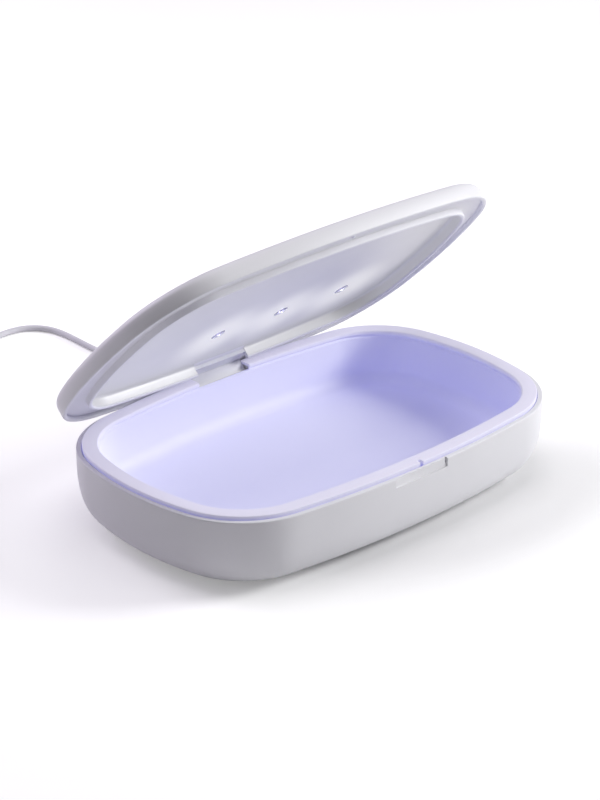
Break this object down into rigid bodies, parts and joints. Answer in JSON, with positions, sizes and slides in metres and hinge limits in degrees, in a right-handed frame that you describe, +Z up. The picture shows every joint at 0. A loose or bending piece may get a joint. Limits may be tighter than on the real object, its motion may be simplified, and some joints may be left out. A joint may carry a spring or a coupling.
{
  "type": "ultraviolet sanitizer box",
  "caption": "Phone-sized ultraviolet sanitizer box: pebble-shaped shell with a deep tray, a mirrored lamp lid on a friction hinge, a start button and a charging lead.",
  "frame": {"origin": "on the surface the box stands on, under the middle of its base outline", "axes": "+X along the box, +Y towards the hinge at the rear, +Z up"},
  "size_m": [0.228, 0.3172, 0.1425],
  "materials": {
    "shell_plastic": "satin white moulded plastic",
    "tray_plastic": "smooth pale lavender moulded plastic",
    "foot_rubber": "matte",
    "screw_steel": "bright",
    "board_green": "solder mask",
    "chip_black": "moulded black",
    "socket_steel": "plated",
    "magnet_plating": "nickel plated",
    "ribbon_film": "amber film",
    "mirror_coat": "vacuum metallised plastic",
    "lamp_board": "white solder mask",
    "lamp_die": "lamp package",
    "quartz": "clear window",
    "spreader_aluminium": "mill",
    "bush_plastic": "acetal",
    "ring_plastic": "translucent",
    "button_plastic": "satin",
    "lead_grey": "matte grey sheath"
  },
  "bodies": {
    "base": {"lower_shell": "shell_plastic", "rubber_feet": "foot_rubber", "base_screws": "screw_steel", "tray": "tray_plastic", "main_board": "board_green", "board_parts": "chip_black", "board_screws": "screw_steel", "power_socket": "socket_steel", "base_magnets": "magnet_plating", "lid_sensor": "board_green", "base_ribbon": "ribbon_film", "hinge_shaft": "screw_steel", "box_plug": "lead_grey", "box_plug_tip": "socket_steel", "power_cord": "lead_grey", "cord_coil": "lead_grey", "far_plug": "lead_grey", "far_plug_shell": "socket_steel"},
    "lid": {"lid_shell": "shell_plastic", "lid_liner": "shell_plastic", "mirror_plate": "mirror_coat", "led_board": "lamp_board", "uv_leds": "lamp_die", "led_windows": "quartz", "heat_spreader": "spreader_aluminium", "hinge_block": "shell_plastic", "block_screws": "screw_steel", "hinge_bushes": "bush_plastic", "lid_magnets": "magnet_plating", "lid_ribbon": "ribbon_film", "button_switch": "chip_black", "light_ring": "ring_plastic"},
    "button": {"start_button": "button_plastic"}
  },
  "joints": [
    {"name": "lid_hinge", "type": "hinge", "parent": "base", "child": "lid", "pos_m": [0, 0.068, 0.034], "axis": [-1, 0, 0], "range_deg": [-45.8, 14.2]},
    {"name": "button_press", "type": "slide", "parent": "lid", "child": "button", "axis": [0, -0.7169, -0.6972], "range_m": [0, 0.0008], "stiffness_N_per_m": 300}
  ]
}
